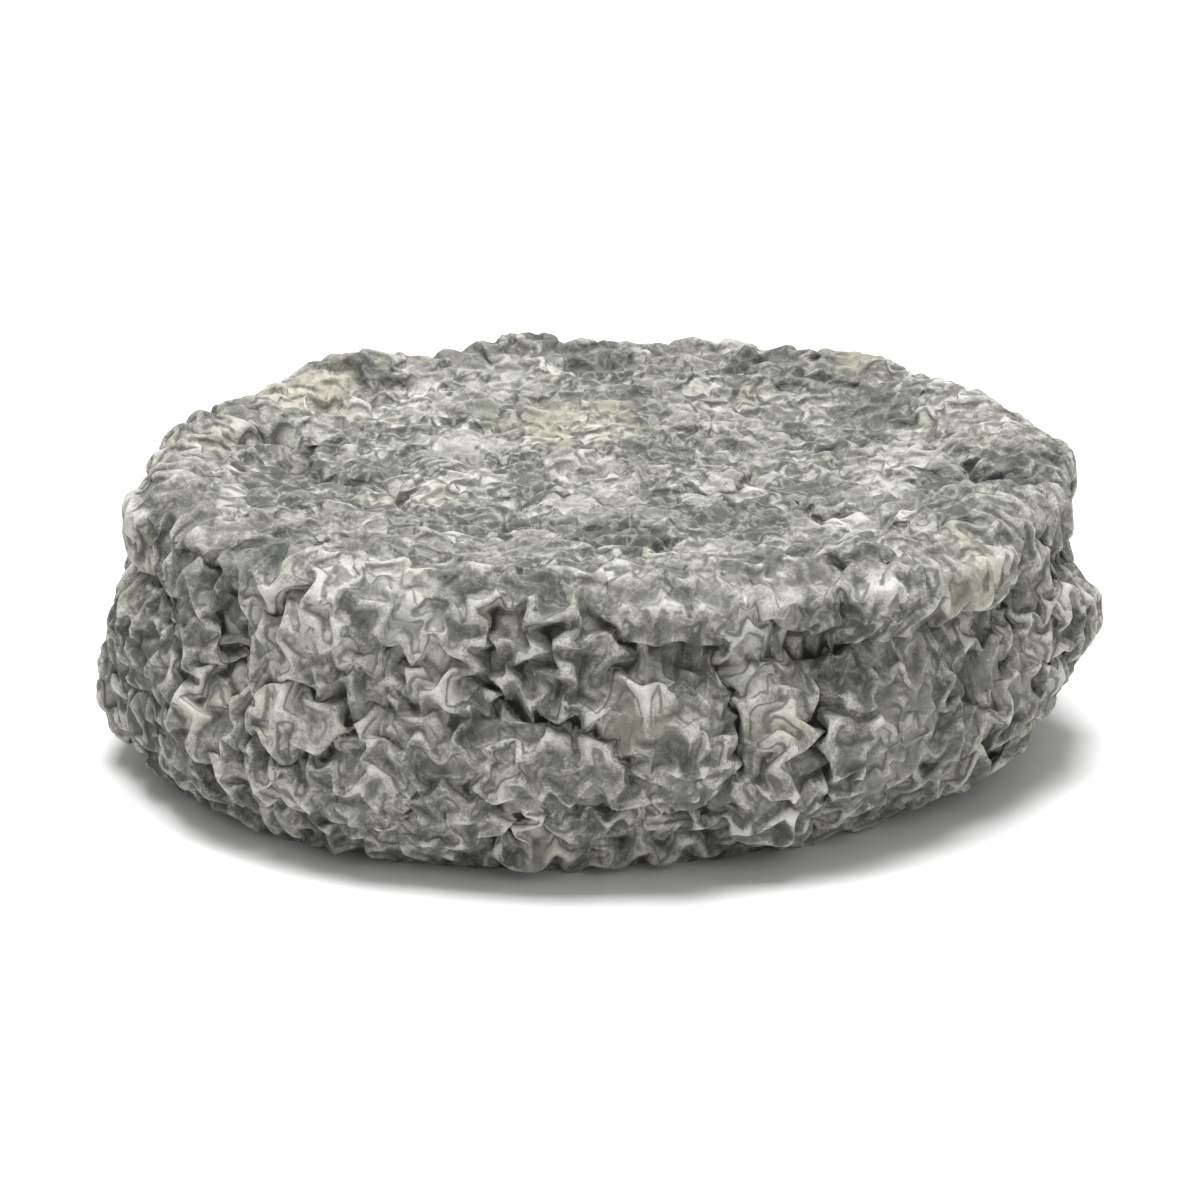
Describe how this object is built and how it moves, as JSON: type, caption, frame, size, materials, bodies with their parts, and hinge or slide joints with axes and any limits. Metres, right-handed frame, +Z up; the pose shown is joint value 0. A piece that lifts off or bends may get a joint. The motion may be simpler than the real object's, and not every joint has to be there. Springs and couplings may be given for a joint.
{
  "type": "ash-rind goat cheese wheel",
  "caption": "Whole small soft-ripened goat cheese wheel, low and round with a dished top, a soft rim over a shallow groove, a full belly and a deeply wrinkled ash-grey rind.",
  "frame": {"origin": "centre of the bounding box's bottom, on the surface that the wheel rests on", "axes": "+Z up, through the top; -Y is the front, where the belly stands furthest out to the left and is drawn in to the right; +X to the right of the front"},
  "size_m": [0.0946, 0.0948, 0.0291],
  "materials": {
    "rind": "dull, velvety, wrinkled ash-grey rind with pale bloom on its ridges"
  },
  "bodies": {
    "root": {"cheese_wheel": "rind"}
  },
  "joints": []
}
